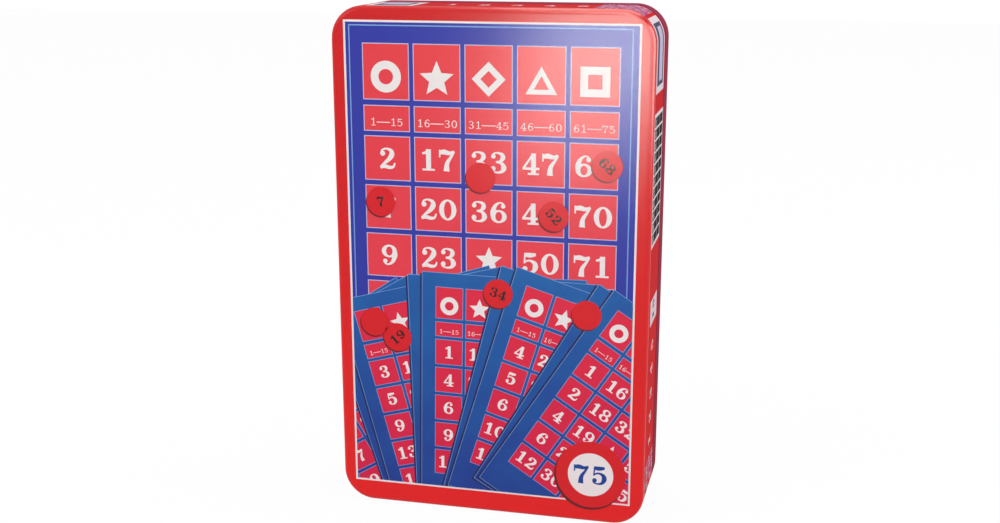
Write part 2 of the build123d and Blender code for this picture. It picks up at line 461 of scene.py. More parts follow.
# A number card, in its column pitches: five columns under signs and ranges, and five rows.
# The bands and rows are measured from the card's top.
CARD_WIDTH = 5.8
CARD_HEIGHT = 7.95
CARD_COLUMNS = 5
CARD_ROWS = 5
CARD_MIDDLE = 2
NUMBERS_A_COLUMN = 15
CELL_HALF_WIDTH = 0.46
HEAD_BAND = (0.45, 1.52)
RANGE_BAND = (1.62, 2.12)
SIGN_DROP, SIGN_SIZE = 1.08, 0.60
RANGE_DROP, RANGE_SIZE = 1.94, 0.145
FIRST_ROW = 2.205
ROW_PITCH = 0.955
CELL_HEIGHT = 0.866
NUMBER_SIZE = 0.41
STAR_SIZE = 0.27
STAR_COLUMN = 1
SIGNS = {  # column: sides, turn, size against the others, drop
    0: (DISC_STEPS, 0.0, 1.0, 0.0),
    2: (4, 0.0, 1.08, 0.0),
    3: (3, math.pi / 2, 1.15, 0.14),
    4: (4, math.pi / 4, 1.3, 0.0),
}


def sign_patches(column, x, y, size, level, ink):
    """The five plain signs that head the columns: ring, star, diamond, triangle and square."""
    half = size / 2
    if column == STAR_COLUMN:
        return [star_patch(x, y - 0.05 * size, half * 1.15, level, ink)]
    sides, turn, stretch, drop = SIGNS[column]
    y -= drop * size
    outer = disc_patch(x, y, half * stretch, level, ink, sides, turn)[0]
    inner = disc_patch(x, y, half * stretch * 0.48, level, ink, sides, turn)[0]
    return [ring_patch(inner, outer, level, ink)]


def number_card(pitch, seed, inks, fine=4):
    """A card's cells and numerals about its centre, in two layers, from its inks for lines,
    cells and signs.

    The numbers of column c are drawn without repeats from 15 c + 1 to 15 c + 15.
    """
    line, cell, white = inks
    draw = np.random.default_rng(seed)
    edge = 0.014 * pitch + 0.05
    top = CARD_HEIGHT / 2 * pitch
    half = CELL_HALF_WIDTH * pitch - edge
    patches = []

    def framed(x, upper, lower):
        """A cell with a thin line round it, between two depths below the card's top."""
        inner = (x - half, top - lower * pitch + edge, x + half, top - upper * pitch - edge)
        patches.append(frame_patch(*inner, edge, 0, line))
        patches.append(box_patch(*inner, 0, cell))

    for column in range(CARD_COLUMNS):
        x = (column - CARD_MIDDLE) * pitch
        first = NUMBERS_A_COLUMN * column + 1
        last = first + NUMBERS_A_COLUMN - 1
        framed(x, *HEAD_BAND)
        y = top - SIGN_DROP * pitch
        patches.extend(sign_patches(column, x, y, SIGN_SIZE * pitch, 1, white))
        framed(x, *RANGE_BAND)
        y = top - RANGE_DROP * pitch
        patches.extend(numerals(f"{first}--{last}", x, y, RANGE_SIZE * pitch, 1, white, 0.55, 3))
        values = draw.choice(np.arange(first, last + 1), CARD_ROWS, replace=False)
        for row, value in enumerate(np.sort(values)):
            upper = FIRST_ROW + ROW_PITCH * row
            y = top - (upper + CELL_HEIGHT / 2) * pitch
            framed(x, upper, upper + CELL_HEIGHT)
            if column == row == CARD_MIDDLE:
                patches.append(star_patch(x, y, STAR_SIZE * pitch, 1, white))
            else:
                patches.extend(numerals(str(value), x, y, NUMBER_SIZE * pitch, 1, white, 1.0, fine))
    return patches


def printed_piece(
    name, patches, place, outward, materials, body, crop=None, step=PRINT_STEP, cuts=()
):
    """Layers of ink as one object. place() maps points and their layer to millimetres in the
    row frame, outward is the way the print faces, or None for away from the tin's middle, and
    crop is a box (x0, y0, x1, y1) that cuts patches off first. Patches are also divided at the
    cuts along x. Each becomes a closed slip of one layer's thickness."""
    work = bmesh.new()
    for points, faces, level, ink in patches:
        corners = [work.verts.new((x, y, level)) for x, y in points]
        for face in faces:
            work.faces.new([corners[i] for i in face]).material_index = ink
    planes = [((x, 0, 0), (1, 0, 0), False) for x in cuts]
    if crop is not None:
        x0, y0, x1, y1 = crop
        sides = [((x0, 0, 0), (-1, 0, 0), True), ((x1, 0, 0), (1, 0, 0), True)]
        sides += [((0, y0, 0), (0, -1, 0), True), ((0, y1, 0), (0, 1, 0), True)]
        planes = sides + planes
    for point, normal, clear in planes:
        bmesh.ops.bisect_plane(
            work,
            geom=work.verts[:] + work.edges[:] + work.faces[:],
            dist=1e-5,
            plane_co=point,
            plane_no=normal,
            clear_outer=clear,
        )
    for vert in work.verts:
        vert.co = Vector(place(*vert.co)) * MM
    work.normal_update()
    for face in work.faces:
        facing = outward
        if facing is None:
            middle = face.calc_center_median()
            facing = (middle.x, 0, middle.z - TIN_HALF_HEIGHT * MM)
        if face.normal.dot(Vector(facing)) < 0:
            face.normal_flip()
    mesh = bpy.data.meshes.new(name)
    work.to_mesh(mesh)
    work.free()
    for material in materials:
        mesh.materials.append(material)
    piece = bpy.data.objects.new(name, mesh)
    bpy.context.scene.collection.objects.link(piece)
    slip = piece.modifiers.new("ink_thickness", "SOLIDIFY")
    slip.thickness = step * MM
    slip.offset = -1.0
    if cuts:
        depsgraph = bpy.context.evaluated_depsgraph_get()
        thick = bpy.data.meshes.new_from_object(piece.evaluated_get(depsgraph))
        piece.modifiers.remove(slip)
        thick.polygons.foreach_set("use_smooth", np.ones(len(thick.polygons), dtype=bool))
        thick.set_sharp_from_angle(angle=math.radians(30))
        piece.data = thick
    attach(piece, body)
    return piece


def lid_place(x, y, level):
    """Where the lid's face holds a point of its print."""
    return (x, TIN_FRONT_DEPTH / 2 - LID_FACE_DEPTH - level * PRINT_STEP, y + TIN_HALF_HEIGHT)


PANEL, LINE, SALMON, WHITE, CARD, CARD_LINE, CRIMSON, SHADE, CHIP, EDGE, BLACK = range(11)
LID_INKS = [
    lacquered("ink_panel_blue", srgb(38, 48, 164), srgb(44, 54, 175)),
    lacquered("ink_pale_line", srgb(190, 186, 225), srgb(214, 204, 234)),
    lacquered("ink_salmon", srgb(240, 56, 82), srgb(246, 62, 72)),
    lacquered("ink_white", srgb(250, 240, 244), srgb(255, 248, 248), coat=0.3),
    # The card blue turns lighter and greener towards the top: painted highlight.
    lacquered("ink_card_blue", srgb(8, 52, 150), srgb(4, 124, 198)),
    lacquered("ink_card_line", srgb(104, 150, 220), srgb(140, 185, 232)),
    lacquered("ink_crimson", srgb(222, 4, 70), srgb(252, 46, 66)),
    lacquered("ink_card_shade", srgb(14, 20, 84), srgb(18, 28, 100)),
    lacquered("ink_chip_red", srgb(226, 6, 24), srgb(232, 12, 34)),
    lacquered("ink_chip_edge", srgb(104, 4, 22), srgb(120, 8, 26)),
    lacquered("ink_black", srgb(18, 10, 16), srgb(24, 16, 22)),
]
KEYLINE = (-53.1, -86.4, 53.2, 89.7)
KEYLINE_WIDTH = 0.75
FINE_FRAME = (-51.5, -120.0, 50.7, 88.4)
GRID_PITCH = 19.06
GRID_Y = 15.2
GRID_BELOW_Y = -136.3
grid_inks = (LINE, SALMON, WHITE)
art = [box_patch(*KEYLINE, 1, PANEL)]
art += [frame_patch(*FINE_FRAME, 0.4, 2, CARD_LINE)]
for seed, y in ((11, GRID_Y), (12, GRID_BELOW_Y)):
    art += moved(number_card(GRID_PITCH, seed, grid_inks, fine=6), 0.0, y, lift=2)

FAN_PITCH = 11.6
FAN_PIVOT = (6.0, -128.0)
FAN_REACH = 80.0
FAN_DEGREES = (31.0, 15.0, -1.0, -17.0, -33.0)
FAN_SLIP = 2.6
FAN_FIRST_LEVEL = 5
FAN_LEVELS = 4
FAN_SEED = 21
fan_inks = (CARD_LINE, CRIMSON, WHITE)
fan_w, fan_h = CARD_WIDTH / 2 * FAN_PITCH, CARD_HEIGHT / 2 * FAN_PITCH


def fan_card(degrees, level, marks):
    """A card turned about the fan's pivot: its shade, its blue face with a pale edge, its marks."""
    card = [box_patch(-fan_w - 0.9, -fan_h - 0.9, fan_w - 0.8, fan_h - 0.6, -0.4, SHADE)]
    card += [box_patch(-fan_w, -fan_h, fan_w, fan_h, 0, CARD)]
    card += [frame_patch(-fan_w, -fan_h, fan_w, fan_h, 0.2, 0, CARD_LINE)]
    turn = math.radians(degrees)
    x = FAN_PIVOT[0] - FAN_REACH * math.sin(turn)
    y = FAN_PIVOT[1] + FAN_REACH * math.cos(turn)
    return moved(card + moved(marks, 0, 0, lift=1), x, y, degrees, lift=level)


for rank, degrees in enumerate(FAN_DEGREES):
    level = FAN_FIRST_LEVEL + FAN_LEVELS * rank
    art += fan_card(degrees + FAN_SLIP, level - 1, [])
    art += fan_card(degrees, level, number_card(FAN_PITCH, FAN_SEED + rank, fan_inks))
lid_picture = printed_piece(
    "lid_picture", art, lid_place, (0, -1, 0), LID_INKS, "lid", KEYLINE
)


CHIP_LEVEL = 25
CHIP_ART_RADIUS = 5.5


def chip_art(x, y, text, level=CHIP_LEVEL, radius=CHIP_ART_RADIUS):
    """A chip seen a little from one side: a dark edge behind a red face, and its number, which
    is turned by 0.9 times the sine of x so that no two lie alike."""
    patches = [
        disc_patch(x - 0.35, y - 0.55, radius, level, EDGE),
        disc_patch(x, y, radius, level + 1, CHIP),
    ]
    if text:
        turn = 0.9 * math.sin(x)
        patches += numerals(text, x, y, 0.66 * radius, level + 2, BLACK, 1.0, 4, turn)
    return patches


LOOSE_CHIPS = [(-41.0, 24.5, "7"), (-3.0, 35.0, ""), (24.0, 22.0, "52"), (43.0, 41.0, "68")]
LOOSE_CHIPS += [(-44.5, -22.0, ""), (-35.5, -27.5, "19"), (36.5, -14.0, ""), (3.5, -8.0, "34")]
BALL_X, BALL_Y = 39.0, -76.0
BALL_SHADE, BALL_RIM, BALL_FACE = 13.4, 13.2, 8.6
loose = [frame_patch(*KEYLINE, KEYLINE_WIDTH, 1, WHITE)]
for x, y, text in LOOSE_CHIPS:
    loose += chip_art(x, y, text)
loose += [
    disc_patch(BALL_X - 0.5, BALL_Y - 0.7, BALL_SHADE, CHIP_LEVEL, EDGE, 64),
    disc_patch(BALL_X, BALL_Y, BALL_RIM, CHIP_LEVEL + 1, CHIP, 64),
    disc_patch(BALL_X, BALL_Y, BALL_FACE, CHIP_LEVEL + 2, WHITE, 56),
]
loose += numerals("75", BALL_X, BALL_Y, 7.4, CHIP_LEVEL + 3, CARD, 1.0, 6)
lid_chips = printed_piece(
    "lid_keyline_and_chips", loose, lid_place, (0, -1, 0), LID_INKS, "lid"
)

# Print round the lid's skirt: one band that wraps the corners, with a score table, pale tabs
# and plain numerals. Its places are millimetres along the band from the middle of the right
# side, anticlockwise as seen from the lid, and depths from the tin's back.
SKIRT_RADIUS = TIN_CORNER - LID_SIDE_INSET
SKIRT_SIDE = 2 * (TIN_HALF_HEIGHT - TIN_CORNER)
SKIRT_END = 2 * (TIN_HALF_WIDTH - TIN_CORNER)
SKIRT_ARC = SKIRT_RADIUS * math.pi / 2
SKIRT_QUARTERS = ((1, 1, SKIRT_SIDE), (-1, 1, SKIRT_END), (-1, -1, SKIRT_SIDE), (1, -1, SKIRT_END))
SKIRT_LENGTH = 2 * (SKIRT_SIDE + SKIRT_END) + 4 * SKIRT_ARC
HALF_ROUND = SKIRT_LENGTH / 2


def skirt_place(s, t, level):
    """Where the band lies at s along it and at the depth t. A straight is followed by a corner
    of the shell's own chords."""
    s = (s + SKIRT_SIDE / 2) % SKIRT_LENGTH
    radius = SKIRT_RADIUS + level * PRINT_STEP
    for quarter, (way_x, way_z, straight) in enumerate(SKIRT_QUARTERS):
        start = quarter * math.pi / 2
        hub_x = way_x * (TIN_HALF_WIDTH - TIN_CORNER)
        hub_z = way_z * (TIN_HALF_HEIGHT - TIN_CORNER)
        if s <= straight:
            back = straight - s
            x = hub_x + radius * math.cos(start) + back * math.sin(start)
            z = hub_z + radius * math.sin(start) - back * math.cos(start)
            break
        s -= straight
        if s <= SKIRT_ARC:
            chord = min(int(s / SKIRT_ARC * CORNER_STEPS), CORNER_STEPS - 1)
            share = s / SKIRT_ARC * CORNER_STEPS - chord
            near = start + chord * math.pi / 2 / CORNER_STEPS
            far = near + math.pi / 2 / CORNER_STEPS
            x = hub_x + radius * ((1 - share) * math.cos(near) + share * math.cos(far))
            z = hub_z + radius * ((1 - share) * math.sin(near) + share * math.sin(far))
            break
        s -= SKIRT_ARC
    return (x, TIN_FRONT_DEPTH / 2 - t, z + TIN_HALF_HEIGHT)


def skirt_cuts():
    """Every chord's end on the four corners, as s."""
    cuts, s = [], -SKIRT_SIDE / 2
    for _, _, straight in SKIRT_QUARTERS:
        s += straight
        cuts += [s + SKIRT_ARC * k / CORNER_STEPS for k in range(CORNER_STEPS + 1)]
        s += SKIRT_ARC
    return cuts


SKIRT_NEAR, SKIRT_FAR = 13.2, 37.6
SKIRT_MIDDLE = 25.5
FIGURE_SIZE = 5.4
BLUE_BAND, FINE_LINE, MAGENTA, PLAIN_WHITE, GREY_BLUE, BAND_BLACK = range(6)
SKIRT_INKS = [
    lacquered(f"skirt_{name}", low, high, **SKIRT_COAT)
    for name, low, high in (
        ("blue", srgb(52, 40, 140), srgb(76, 56, 160)),
        ("pale_line", srgb(190, 186, 225), srgb(214, 204, 234)),
        ("magenta", srgb(196, 30, 92), srgb(208, 50, 104)),
        ("white", srgb(232, 214, 222), srgb(244, 230, 236)),
        ("grey_blue", srgb(66, 62, 96), srgb(84, 80, 112)),
        ("black", srgb(18, 10, 16), srgb(24, 16, 22)),
    )
]


def skirt_piece(name, band, s0, s1):
    """One piece of the band, cut to s0 and s1."""
    window = (s0, SKIRT_NEAR, s1, SKIRT_FAR)
    cuts = skirt_cuts()
    printed_piece(
        name, band, skirt_place, None, SKIRT_INKS, "lid", window, cuts=cuts
    )


def figure_row(start, pitch, text, turn=0.0):
    """Plain numerals in a row along the band."""
    row = []
    for rank, sign in enumerate(text):
        s = start + rank * pitch
        row += numerals(sign, s, SKIRT_MIDDLE, FIGURE_SIZE, 1, PLAIN_WHITE, turn=turn)
    return row


def pale_tab(s0, s1):
    """A white tab with a dark frame, like the end of a card box."""
    return [
        box_patch(s0, 14.5, s1, 36.5, 1, PLAIN_WHITE),
        box_patch(s0 + 2.5, 17.0, s1 - 2.5, 34.0, 2, GREY_BLUE),
        box_patch(s0 + 4.0, 20.0, s1 - 4.0, 29.0, 3, FINE_LINE),
    ]


TABLE_PITCH = 4.2
TABLE_BAR = 3.4
TABLE_MARGIN = 1.4
TABLE_COLUMNS = ((14.4, 22.3), (22.9, 31.2), (31.8, 36.2))


def score_table(s0, rows):
    """A white table with a dark row for each round: its number and two spaces for scores."""
    s1 = s0 + rows * TABLE_PITCH + 2.0
    table = [box_patch(s0, SKIRT_NEAR, s1, SKIRT_FAR, 1, PLAIN_WHITE)]
    for row in range(rows):
        s = s0 + TABLE_MARGIN + row * TABLE_PITCH
        for near, far in TABLE_COLUMNS:
            table.append(box_patch(s, near, s + TABLE_BAR, far, 2, BAND_BLACK))
        shown = numerals(str(rows - row), 0.0, 0.0, 2.2, 3, PLAIN_WHITE, 1.2, 3)
        table += moved(shown, s + TABLE_BAR / 2, sum(TABLE_COLUMNS[-1]) / 2, -90.0)
    return table


band = figure_row(-66.0, 9.5, "12345")
band += [box_patch(-19.0, 15.0, -9.5, 34.0, 1, PLAIN_WHITE)]
band += numerals("15", -14.2, 25.0, 4.6, 2, BAND_BLACK)
band += score_table(11.0, 11)
band += pale_tab(66.0, 93.0)
band += figure_row(118.0, 12.0, "54321", math.pi)
band += pale_tab(178.0, 196.0)
band += figure_row(HALF_ROUND - 40.0, 10.0, "123456789")
band += figure_row(HALF_ROUND + 112.0, 12.0, "12345", math.pi)
skirt_piece("lid_skirt_print", band, -SKIRT_LENGTH / 2, SKIRT_LENGTH)

# Corners of number cards round the lid's skirt, as if the picture ran on over its edges. They
# are printed as the band is, each row here being the place along it, the depth, the turn in
# degrees and the length of a window.
SKIRT_CARD_PITCH = 7.5
SKIRT_SEED = 41
SKIRT_CARDS = [(-83.0, 26.0, 20.0, 21.0), (103.5, 24.0, 25.0, 18.0)]
SKIRT_CARDS += [(HALF_ROUND - 75.0, 26.0, -20.0, 24.0), (HALF_ROUND + 83.0, 26.0, 15.0, 24.0)]
skirt_inks = (PLAIN_WHITE, MAGENTA, PLAIN_WHITE)
for rank, (s, t, degrees, length) in enumerate(SKIRT_CARDS):
    s0, s1 = s - length / 2, s + length / 2
    window = [box_patch(s0, SKIRT_NEAR, s1, SKIRT_FAR, 1, BLUE_BAND)]
    card = number_card(SKIRT_CARD_PITCH, SKIRT_SEED + rank, skirt_inks, fine=3)
    window += moved(card, s, t, degrees, lift=2)
    skirt_piece(f"lid_skirt_cards_{rank + 1}", window, s0, s1)

# Base: drawn from one sheet of tinplate like the lid, with a shoulder that the lid's skirt meets,
# a neck with a rolled rim and a panel pressed into its back. The rings (inset, depth) run from
# the inside of the panel over the rim to the outside of the panel.
strip_lacquer = lacquered("strip_lacquer", srgb(150, 26, 54), srgb(160, 44, 78), **SKIRT_COAT)
PANEL_CORNER = 11.5
LEAST_CORNER = 0.5
PANEL_RECESS = 1.0
BASE_SHEET = 0.3
panel_inside = [(14.0, 1.3), (5.75, 1.3), (5.5, 1.27), (5.32, 1.15)]
panel_inside += [(4.85, 0.4), (4.7, 0.31), (4.5, BASE_SHEET)]
neck = [(0.3, 11.3), (0.4, 11.6), (0.7, 11.7), (1.1, 11.75), (1.2, 11.9), (1.2, 34.7)]
neck += [(1.3, 34.8), (1.48, 34.9), (1.5, 35.1), (1.5, 37.0), (1.42, 37.2), (1.2, 37.29)]
neck += [(0.98, 37.2), (0.91, 37.0), (0.9, 36.6)]
shoulder = [(0.9, 13.6), (0.9, 12.2), (0.8, 12.02), (0.3, 11.99), (0.08, 11.9)]
shoulder += [(0.01, 11.7), (0.0, 11.4)]
panel_outside = [(4.8, 0.0), (5.0, 0.02), (5.15, 0.12), (5.62, 0.9), (5.78, 0.99)]
panel_outside += [(6.0, PANEL_RECESS), (14.0, PANEL_RECESS)]
base_rings = [(i, d, max(PANEL_CORNER - i, LEAST_CORNER)) for i, d in panel_inside]
base_rings += [(2.1, BASE_SHEET, None)]
base_rings += quarter_fold(FOLD_RADIUS, FOLD_RADIUS, FOLD_RADIUS - BASE_SHEET, 0, 90, -1)
base_rings += [(i, d, None) for i, d in neck]
strip_start = len(base_rings)
base_rings += [(i, d, None) for i, d in shoulder]
base_rings += quarter_fold(FOLD_RADIUS, FOLD_RADIUS, FOLD_RADIUS, 90, 0, -1)
base_rings += [(i, d, max(PANEL_CORNER - i, LEAST_CORNER)) for i, d in panel_outside]
base_shell = drawn_shell("base_shell", base_rings, [bare_tin, strip_lacquer], [strip_start])
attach(base_shell, "base")
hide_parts("tin_base")


# Print on the base's back: one number card between two rows of chips on a blue panel, in the
# inks of the lid. The panel is sunk a little, so the tin never lies on its print.
def back_place(x, y, level):
    """Where the panel pressed into the back holds a point of its print."""
    return (-x, TIN_FRONT_DEPTH / 2 - PANEL_RECESS + level * PRINT_STEP, y + TIN_HALF_HEIGHT)


BACK_BOX = (-47.5, -84.0, 47.5, 84.0)
BACK_FRAME = (-42.5, -58.6, 42.5, 58.6)
BACK_CHIP_ROWS = (-71.5, 71.5)
BACK_CHIP_PITCH = 16.0
BACK_CHIP_RADIUS = 5.8
BACK_CARD_PITCH = 14.0
BACK_CARD_Y = -6.0
back = [box_patch(*BACK_BOX, 1, PANEL)]
back += [frame_patch(*BACK_BOX, 0.8, 1, WHITE)]
back += [frame_patch(*BACK_FRAME, 0.4, 2, CARD_LINE)]
card = number_card(BACK_CARD_PITCH, seed=51, inks=grid_inks, fine=5)
back += moved(card, 0.0, BACK_CARD_Y, lift=2)
for row, y in enumerate(BACK_CHIP_ROWS):
    for column in range(CARD_COLUMNS):
        number = NUMBERS_A_COLUMN * column + 1 + (NUMBERS_A_COLUMN - 1) * row
        x = (column - CARD_MIDDLE) * BACK_CHIP_PITCH
        back += chip_art(x, y, str(number), level=2, radius=BACK_CHIP_RADIUS)
printed_piece("base_back_print", back, back_place, (0, 1, 0), LID_INKS, "base")


# Tray: a pale plastic sheet drawn hot into a card bay and round wells, which stands loose in the
# base. It is the CAD solid in satin, with the slight haze and softened edges of such a sheet.
def dress(node, material):
    """Gives a CAD node a material in all of its slots."""
    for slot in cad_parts[node].material_slots:
        slot.material = material


tray_plastic, tree, shader, place = new_material("tray_plastic")
haze = noise(tree, place["Object"], scale=38.0, detail=6.0)
grain = noise(tree, place["Object"], scale=1500.0)
soft_edge = add_node(tree, "Bevel", {"Radius": 0.0008}, samples=6)["Normal"]
feed(
    tree,
    shader,
    {
        "Base Color": between(tree, haze, (0.78, 0.79, 0.78, 1.0), (0.88, 0.88, 0.86, 1.0)),
        "Roughness": spread(tree, haze, 0.28, 0.46),
        "Subsurface Weight": 0.08,
        "Subsurface Radius": (0.001, 0.001, 0.001),
        "Normal": bumped(tree, grain, strength=0.1, distance=0.0001, Normal=soft_edge),
    },
)
dress("card_and_chip_tray", tray_plastic)


# Bingo cards: square-cut grey board with printed blue paper on both sides, in a loose pack in the
# tray's bay. Each has its own numbers on its front, and ink and board come from one recipe.
def board_paper(name, low, high, edge_low, edge_high, first=0.0, pitch=0.0):
    """Printed paper on board. Faces that look along Y are the print, the cut edges are grey
    board in thin plies. The share of print is 1 where the normal's Y is over 0.5 either way.

    With a pitch, the edges of a stack of boards show the printed paper near each joint. The
    count of joints is the depth less the first joint's, over the pitch, and the paper shows
    where it is within 0.09 of a whole number.
    """
    material, tree, shader, place = new_material(name)
    tone = between(tree, noise(tree, place["Object"], scale=70.0, detail=6.0), low, high)
    layered = stretched(tree, place["Object"], (60.0, 4000.0, 60.0))
    plies = noise(tree, layered, scale=1.0, detail=3.0)
    cut_edge = between(tree, plies, edge_low, edge_high)
    facing = add_node(tree, "SeparateXYZ", {"Vector": place["Normal"]})["Y"]
    printed = maths(tree, "GREATER_THAN", maths(tree, "ABSOLUTE", facing), 0.5)
    if pitch:
        y = add_node(tree, "SeparateXYZ", {"Vector": place["Object"]})["Y"]
        zero = (TIN_FRONT_DEPTH / 2 - first) / pitch
        count = maths(tree, "MULTIPLY_ADD", y, -1 / (pitch * MM), zero)
        joint = maths(tree, "LESS_THAN", maths(tree, "PINGPONG", count, 0.5), 0.09)
        printed = maths(tree, "MAXIMUM", printed, joint)
    fibre = noise(tree, place["Object"], scale=2600.0, detail=4.0)
    feed(
        tree,
        shader,
        {
            "Base Color": between(tree, printed, cut_edge, tone),
            "Roughness": 0.55,
            "Coat Weight": 0.25,
            "Coat Roughness": 0.3,
            "Normal": bumped(tree, fibre, strength=0.15, distance=0.00006),
        },
    )
    return material


def node_box(node):
    """A CAD node's least and greatest corner and its middle, in millimetres."""
    low, high = (np.array(corner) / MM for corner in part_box(node))
    return low, high, (low + high) / 2


def front_print(name, patches, node, body):
    """Print on the flat front of a CAD node, about the middle of that front."""
    low, _, middle = node_box(node)

    def place(x, y, level):
        """A point shifted by the middle, and its layer in front of the node."""
        return (middle[0] + x, low[1] - (level + 1) * PAPER_STEP, middle[2] + y)

    printed_piece(name, patches, place, (0, -1, 0), PAPER_INKS, body, step=PAPER_STEP)


BOARD_TONES = (
    srgb(28, 78, 160),
    srgb(38, 92, 176),
    (0.42, 0.40, 0.36, 1.0),
    (0.60, 0.58, 0.53, 1.0),
)
PAPER_STEP = 0.012
PAPER_LINE, PAPER_SALMON, PAPER_WHITE, PAPER_BLACK = range(4)
PAPER_INKS = [
    board_paper("card_ink_" + name, low, high, low, high)
    for name, low, high in (
        ("line", srgb(150, 172, 222), srgb(168, 188, 230)),
        ("salmon", srgb(214, 50, 76), srgb(226, 64, 86)),
        ("white", srgb(240, 234, 236), srgb(250, 246, 246)),
        ("black", srgb(24, 22, 26), srgb(34, 32, 36)),
    )
]
CARDS = 16
FIRST_JOINT = 2.375
JOINT_PITCH = 1.65
FIRST_SEED = 100
card_board = board_paper("card_board", *BOARD_TONES, first=FIRST_JOINT, pitch=JOINT_PITCH)
for count in range(1, CARDS + 1):
    node = f"bingo_card_{count:02d}"
    dress(node, card_board)
    low, high, _ = node_box(node)
    pitch = (high[0] - low[0]) / CARD_WIDTH
    card = number_card(pitch, FIRST_SEED + count, (PAPER_LINE, PAPER_SALMON, PAPER_WHITE))
    front_print(f"{node}_print", card, node, "card_deck")

# Chips: discs of moulded plastic with a faint swirl of colour and a satin grain, stacked loose in
# the tray's wells. Both faces have a raised rim, and the numbered ones have their number printed
# on the front. The profile is (radius, depth from the front) over half the thickness.
CHIP_SIDES = 48
CHIP_PROFILE = [(6.2, 0.15), (6.45, 0.12), (6.6, 0.03), (6.75, 0.0), (7.2, 0.0), (7.42, 0.06)]
CHIP_PROFILE += [(7.5, 0.25)]
CHIP_RECESS = 0.15
CHIP_GAP = 0.05
NUMBERED_CHIPS = 15
COVER_CHIPS = 14
CHIP_NUMBER_SIZE = 5.2
chip_plastic, tree, shader, place = new_material("chip_plastic")
swirl = noise(tree, place["Object"], scale=140.0, detail=4.0, distortion=0.8)
grain = noise(tree, place["Object"], scale=1800.0)
feed(
    tree,
    shader,
    {
        "Base Color": between(tree, swirl, srgb(198, 18, 32), srgb(214, 30, 42)),
        "Roughness": spread(tree, swirl, 0.3, 0.42),
        "Subsurface Weight": 0.04,
        "Subsurface Radius": (0.002, 0.0006, 0.0006),
        "Normal": bumped(tree, grain, strength=0.12, distance=0.00008),
    },
)


def chip_stack(name, node, count, body):
    """A stack of turned discs: each profile point goes round as radius times cosine and sine."""
    low, high, middle = node_box(node)
    pitch = (high[1] - low[1] + CHIP_GAP) / count
    thick = pitch - CHIP_GAP
    profile = CHIP_PROFILE + [(r, thick - y) for r, y in reversed(CHIP_PROFILE)]
    angle = np.linspace(0, 2 * math.pi, CHIP_SIDES, endpoint=False)
    rings = [(r * np.cos(angle), np.full(CHIP_SIDES, y), r * np.sin(angle)) for r, y in profile]
    disc = np.vstack([np.stack(ring, 1) for ring in rings])
    disc_faces = skin_faces(len(profile), CHIP_SIDES)
    points, faces = [], []
    for rank in range(count):
        points.append(disc + (middle[0], high[1] - thick - rank * pitch, middle[2]))
        faces += [tuple(rank * len(disc) + i for i in face) for face in disc_faces]
    piece = new_mesh(name, np.vstack(points) * MM, faces, [chip_plastic], math.radians(50))
    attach(piece, body)
    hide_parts(node)
    return middle, high[1] - thick, pitch


for column in range(CARD_COLUMNS):
    first = NUMBERED_CHIPS * column + 1
    node = f"number_chips_{first:02d}_to_{first + NUMBERED_CHIPS - 1:02d}"
    middle, front, pitch = chip_stack(f"turned_{node}", node, NUMBERED_CHIPS, "number_chips")
    shown = []
    for rank in range(NUMBERED_CHIPS):
        number = str(first + rank)
        shown += numerals(number, 0.0, 0.0, CHIP_NUMBER_SIZE, rank, PAPER_BLACK, 0.8, 4)

    def chip_place(x, y, level, middle=middle, front=front, pitch=pitch):
        """A chip's face in the stack: the whole of the level is its rank, the rest its layer."""
        rank, layer = divmod(level, 1)
        depth = front - rank * pitch + CHIP_RECESS - (1 + layer) * PAPER_STEP
        return (middle[0] + x, depth, middle[2] + y)

    printed_piece(
        f"figures_on_{node}",
        shown,
        chip_place,
        (0, -1, 0),
        PAPER_INKS,
        "number_chips",
        step=PAPER_STEP,
    )
    node = f"cover_chips_stack_{column + 1}"
    chip_stack(f"turned_{node}", node, COVER_CHIPS, "cover_chips")

# Caller's board: grey board under printed blue paper, as the cards are, which lies loose on the
# tray's flange. It has seven columns of squares that a chip fits on, numbered to 75.
BOARD_COLUMNS, BOARD_ROWS = 7, 11
SQUARE_X, SQUARE_Y = 15.6, 16.4
SQUARE_MARGIN = 0.4
SQUARE_LINE = 0.25
SQUARE_NUMBER, SQUARE_STAR = 6.0, 4.4
LAST_NUMBER = NUMBERS_A_COLUMN * CARD_COLUMNS
half_x = SQUARE_X / 2 - SQUARE_MARGIN - SQUARE_LINE
half_y = SQUARE_Y / 2 - SQUARE_MARGIN - SQUARE_LINE
squares = []
for row in range(BOARD_ROWS):
    for column in range(BOARD_COLUMNS):
        number = row * BOARD_COLUMNS + column + 1
        x = (column - (BOARD_COLUMNS - 1) / 2) * SQUARE_X
        y = ((BOARD_ROWS - 1) / 2 - row) * SQUARE_Y
        inner = (x - half_x, y - half_y, x + half_x, y + half_y)
        squares.append(frame_patch(*inner, SQUARE_LINE, 0, PAPER_LINE))
        squares.append(box_patch(*inner, 0, PAPER_SALMON))
        if number <= LAST_NUMBER:
            squares += numerals(str(number), x, y, SQUARE_NUMBER, 1, PAPER_WHITE)
        else:
            squares.append(star_patch(x, y, SQUARE_STAR, 1, PAPER_WHITE))
dress("callers_board", board_paper("callers_board_paper", *BOARD_TONES))
front_print("callers_board_print", squares, "callers_board", "board")

